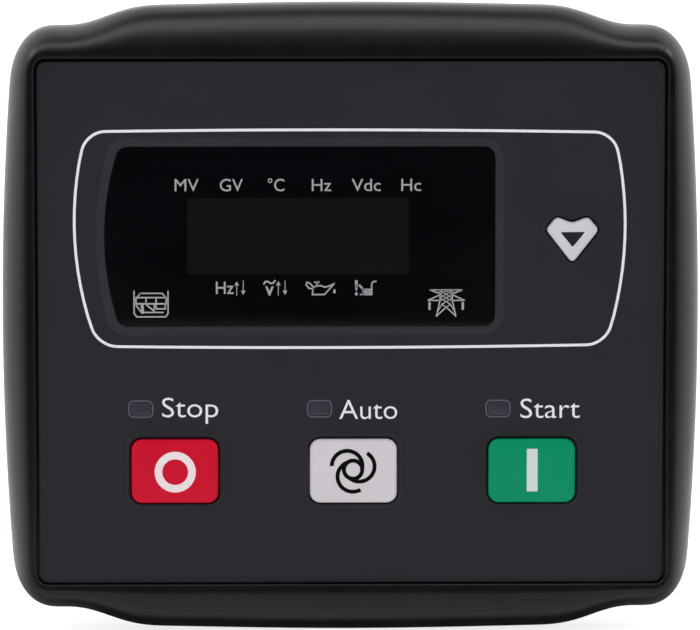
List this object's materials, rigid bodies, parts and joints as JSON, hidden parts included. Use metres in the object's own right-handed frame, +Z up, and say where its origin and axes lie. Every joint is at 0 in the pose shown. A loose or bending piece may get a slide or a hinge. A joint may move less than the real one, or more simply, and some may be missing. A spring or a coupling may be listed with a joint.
{
  "type": "genset controller",
  "caption": "Panel-mounted generator set controller with a display window, stop, auto and start keys, a scroll key, plug-in terminals and side mounting clips.",
  "frame": {"origin": "centre of the panel cut-out, on the face of the panel that the gasket presses on", "axes": "-Y towards the user, +Y into the panel, +X to the user's right along the longest side, +Z up"},
  "size_m": [0.0952, 0.061, 0.086],
  "materials": {
    "bezel_black": "black moulding, satin with soft highlights on the rounded rim",
    "overlay_charcoal": "fine matte charcoal film",
    "window_smoked": "near-black smoked lens, glossy",
    "gasket_rubber": "black foam rubber",
    "housing_black": "black moulding, fine texture",
    "display_grey": "dark grey display face with unlit bars",
    "key_red": "red, satin",
    "key_light_grey": "light grey, satin",
    "key_green": "green, satin",
    "key_white_grey": "white-grey, satin",
    "guide_clear": "unlit, bluish grey",
    "led_white": "unlit",
    "component_black": "black epoxy or nylon",
    "plunger_orange": "plain",
    "board_green": "green laminate with solder mask",
    "relay_blue": "dark blue case",
    "capacitor_sleeve": "dark blue sleeve",
    "transformer_yellow": "yellow winding tape",
    "terminal_green": "green terminal plastic",
    "screw_steel": "zinc-plated"
  },
  "bodies": {
    "controller": {"board_link_header": "component_black", "board_screw_1": "screw_steel", "board_screw_2": "screw_steel", "board_screw_3": "screw_steel", "board_screw_4": "screw_steel", "clamp_screw_left": "screw_steel", "clamp_screw_right": "screw_steel", "controller_chip": "component_black", "display_module": "display_grey", "display_window": "window_smoked", "front_bezel": "bezel_black", "front_board": "board_green", "front_overlay": "overlay_charcoal", "housing_screw_1": "screw_steel", "housing_screw_2": "screw_steel", "housing_screw_3": "screw_steel", "housing_screw_4": "screw_steel", "led_auto": "led_white", "led_start": "led_white", "led_stop": "led_white", "light_baffle": "housing_black", "light_guide_auto": "guide_clear", "light_guide_start": "guide_clear", "light_guide_stop": "guide_clear", "mounting_clip_left": "housing_black", "mounting_clip_right": "housing_black", "panel_gasket": "gasket_rubber", "power_board": "board_green", "power_board_screw_1": "screw_steel", "power_board_screw_2": "screw_steel", "power_board_screw_3": "screw_steel", "power_board_screw_4": "screw_steel", "rear_housing": "housing_black", "relay_1": "relay_blue", "relay_2": "relay_blue", "relay_3": "relay_blue", "supply_capacitor": "capacitor_sleeve", "supply_transformer": "transformer_yellow", "switch_auto": "component_black", "switch_scroll": "component_black", "switch_start": "component_black", "switch_stop": "component_black", "terminal_header_ac": "terminal_green", "terminal_header_dc": "terminal_green", "terminal_plug_ac": "terminal_green", "terminal_plug_dc": "terminal_green"},
    "stop_key": {"key_stop": "key_red", "plunger_stop": "plunger_orange"},
    "auto_key": {"key_auto": "key_light_grey", "plunger_auto": "plunger_orange"},
    "start_key": {"key_start": "key_green", "plunger_start": "plunger_orange"},
    "scroll_key": {"key_scroll": "key_white_grey", "plunger_scroll": "plunger_orange"}
  },
  "joints": [
    {"name": "stop_key_travel", "type": "slide", "parent": "controller", "child": "stop_key", "axis": [0, 1, 0], "range_m": [0, 0.0006], "stiffness_N_per_m": 1500, "springref_m": -0.0004},
    {"name": "auto_key_travel", "type": "slide", "parent": "controller", "child": "auto_key", "axis": [0, 1, 0], "range_m": [0, 0.0006], "stiffness_N_per_m": 1500, "springref_m": -0.0004},
    {"name": "start_key_travel", "type": "slide", "parent": "controller", "child": "start_key", "axis": [0, 1, 0], "range_m": [0, 0.0006], "stiffness_N_per_m": 1500, "springref_m": -0.0004},
    {"name": "scroll_key_travel", "type": "slide", "parent": "controller", "child": "scroll_key", "axis": [0, 1, 0], "range_m": [0, 0.0006], "stiffness_N_per_m": 1500, "springref_m": -0.0004}
  ]
}
